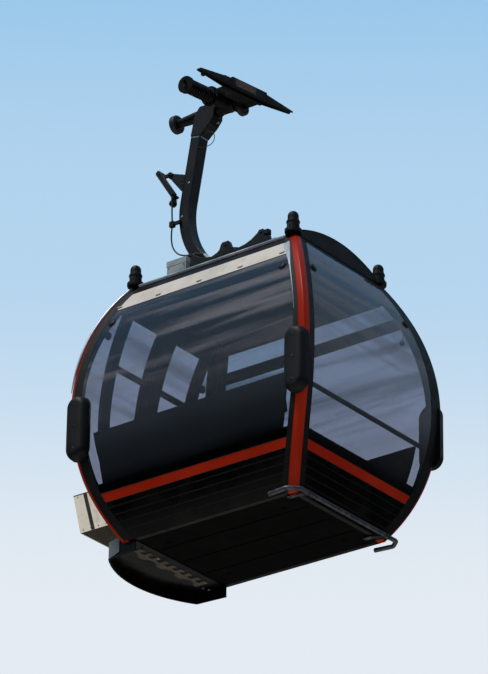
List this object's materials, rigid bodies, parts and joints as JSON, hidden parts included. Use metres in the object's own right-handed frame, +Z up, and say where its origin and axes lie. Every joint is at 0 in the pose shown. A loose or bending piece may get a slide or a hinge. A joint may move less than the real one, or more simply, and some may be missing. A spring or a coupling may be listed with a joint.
{
  "type": "cable car cabin",
  "caption": "Barrel-shaped passenger cabin on a bowed hanger arm with a detachable rope grip, swing-out doors, ski boxes, end benches and glazed walls.",
  "frame": {"origin": "on the rope's axis inside the grip's jaws, in the plane of the hanger arm", "axes": "+X along the rope's level direction, uphill, +Y towards the doors, +Z up with the cabin plumb"},
  "size_m": [1.9758, 2.7101, 4.3127],
  "materials": {
    "grip_steel": "dark greased cast steel",
    "spring_steel": "dark oiled wire",
    "roller_rubber": "worn black",
    "hanger_paint": "satin black paint",
    "cable_sheath": "matt black",
    "black_rubber": "matt black",
    "orange_paint": "semi-gloss orange red",
    "black_sheet": "gloss black",
    "tinted_glass": "smoked acrylic",
    "aluminium_sheet": "mill finish",
    "grey_box": "light grey paint",
    "floor_sheet": "black sheet",
    "seat_shell": "moulded dark grey",
    "seat_pad": "padded dark cover"
  },
  "bodies": {
    "grip": {"grip_body": "grip_steel", "grip_noses": "grip_steel", "grip_spring": "spring_steel", "spring_seats": "grip_steel", "shaft_collars": "grip_steel"},
    "cabin": {"hanger_head": "hanger_paint", "hanger_arm": "hanger_paint", "suspension_frame": "hanger_paint", "door_lever": "hanger_paint", "cable_clips": "hanger_paint", "door_drive": "hanger_paint", "side_fairing": "hanger_paint", "door_cable": "cable_sheath", "frame_pads": "black_rubber", "roof_buffers": "black_rubber", "corner_bumpers": "black_rubber", "corner_posts": "orange_paint", "waist_stripes": "orange_paint", "wall_end_a": "black_sheet", "wall_end_b": "black_sheet", "wall_side_a": "black_sheet", "wall_side_b": "black_sheet", "roof_panel": "black_sheet", "door_tray": "black_sheet", "glass_end_a": "tinted_glass", "glass_end_b": "tinted_glass", "glass_side_a": "tinted_glass", "glass_door_side": "tinted_glass", "vent_pane": "tinted_glass", "top_sheet": "aluminium_sheet", "roof_rails": "aluminium_sheet", "tray_comb": "aluminium_sheet", "guide_tube": "aluminium_sheet", "grab_rail": "aluminium_sheet", "roof_box": "grey_box", "floor_pan": "floor_sheet", "bench_a": "seat_shell", "bench_b": "seat_shell", "seats_a": "seat_pad", "seats_b": "seat_pad", "seat_backs_a": "seat_pad", "seat_backs_b": "seat_pad"},
    "grip_jaw": {"grip_jaw": "grip_steel"},
    "roller_outer": {"roller_outer": "roller_rubber"},
    "roller_inner": {"roller_inner": "roller_rubber"},
    "door_arm_left": {"door_arm_left": "hanger_paint"},
    "door_left": {"door_leaf_left": "black_sheet", "door_hanger_left": "hanger_paint", "door_glass_left": "tinted_glass", "door_stripe_left": "orange_paint", "ski_box_left": "aluminium_sheet"},
    "door_arm_right": {"door_arm_right": "hanger_paint"},
    "door_right": {"door_leaf_right": "black_sheet", "door_hanger_right": "hanger_paint", "door_glass_right": "tinted_glass", "door_stripe_right": "orange_paint", "ski_box_right": "aluminium_sheet"}
  },
  "joints": [
    {"name": "cabin_swing", "type": "hinge", "parent": "grip", "child": "cabin", "pos_m": [-0.00548, 0.55, 0.04467], "axis": [0, 1, 0], "range_deg": [-35, 35]},
    {"name": "jaw_open", "type": "hinge", "parent": "grip", "child": "grip_jaw", "pos_m": [-0.19264, 0.034, 0.0509], "axis": [-0.9925, 0, -0.1219], "range_deg": [0, 12]},
    {"name": "roller_outer_spin", "type": "hinge", "parent": "grip", "child": "roller_outer", "pos_m": [-0.00548, 0.886, 0.04467], "axis": [0, 1, 0], "continuous": true},
    {"name": "roller_inner_spin", "type": "hinge", "parent": "grip", "child": "roller_inner", "pos_m": [0.00207, 0.18, -0.01687], "axis": [0, 1, 0], "continuous": true},
    {"name": "door_left_swing", "type": "hinge", "parent": "cabin", "child": "door_arm_left", "pos_m": [-0.34, 0.72, -1.752], "axis": [0, 0, 1], "range_deg": [0, 135]},
    {"name": "door_left_parallel", "type": "hinge", "parent": "door_arm_left", "child": "door_left", "pos_m": [-0.09, 0.72, -1.752], "axis": [0, 0, 1], "range_deg": [-135, 0]},
    {"name": "door_right_swing", "type": "hinge", "parent": "cabin", "child": "door_arm_right", "pos_m": [0.34, 0.72, -1.752], "axis": [0, 0, -1], "range_deg": [0, 135]},
    {"name": "door_right_parallel", "type": "hinge", "parent": "door_arm_right", "child": "door_right", "pos_m": [0.09, 0.72, -1.752], "axis": [0, 0, -1], "range_deg": [-135, 0]}
  ],
  "couplings": [
    {"joint": "door_left_parallel", "follows": "door_left_swing", "ratio": -1},
    {"joint": "door_right_parallel", "follows": "door_right_swing", "ratio": -1}
  ]
}
